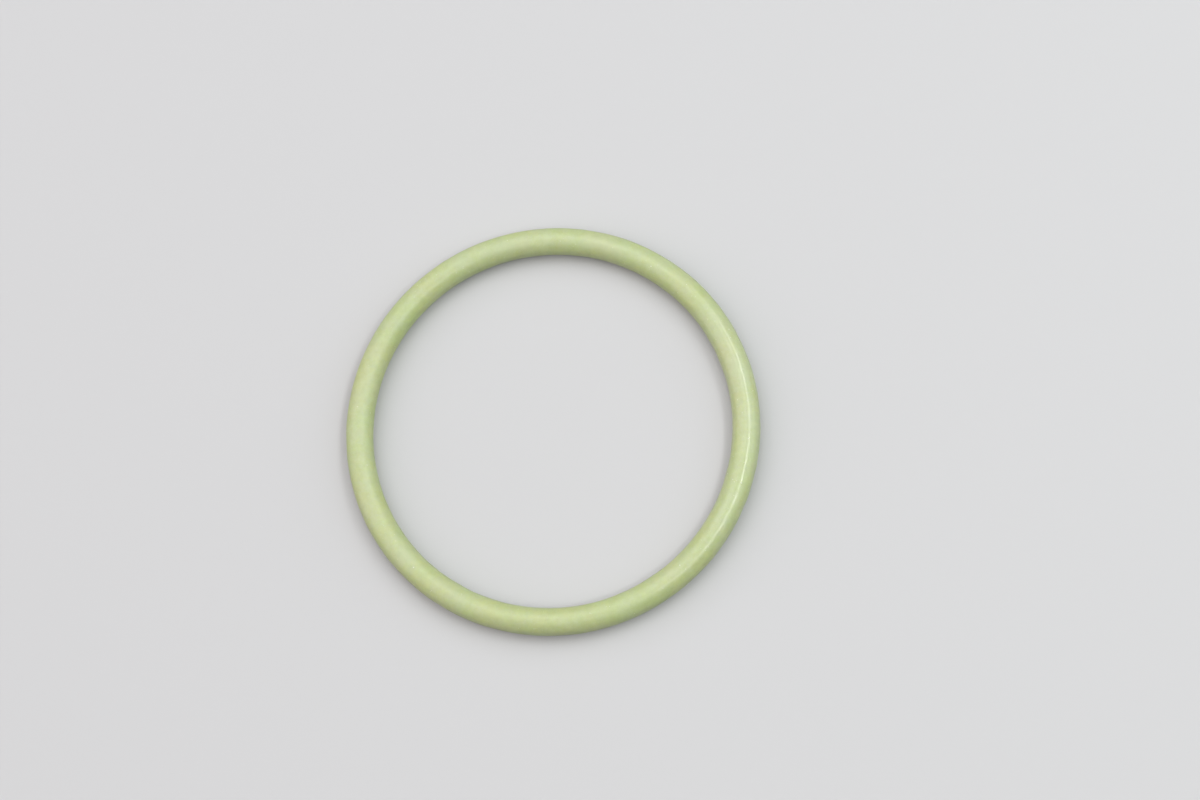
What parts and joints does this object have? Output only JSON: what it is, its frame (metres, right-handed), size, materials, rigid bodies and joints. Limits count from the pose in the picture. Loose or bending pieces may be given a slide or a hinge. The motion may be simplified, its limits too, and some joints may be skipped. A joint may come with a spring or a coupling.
{
  "type": "o-ring",
  "caption": "Light green moulded rubber o-ring: a plain ring of round section, with the mould's faint parting line round its bore and its rim.",
  "frame": {"origin": "centre of the bore, on the mid-plane where the two halves of the mould met", "axes": "+Z along the ring's axis; the ring is a body of revolution about it, so X and Y are any two directions across the bore"},
  "size_m": [0.0544, 0.0544, 0.0036],
  "materials": {
    "moulded_rubber": "satin"
  },
  "bodies": {
    "root": {"o_ring": "moulded_rubber"}
  },
  "joints": []
}
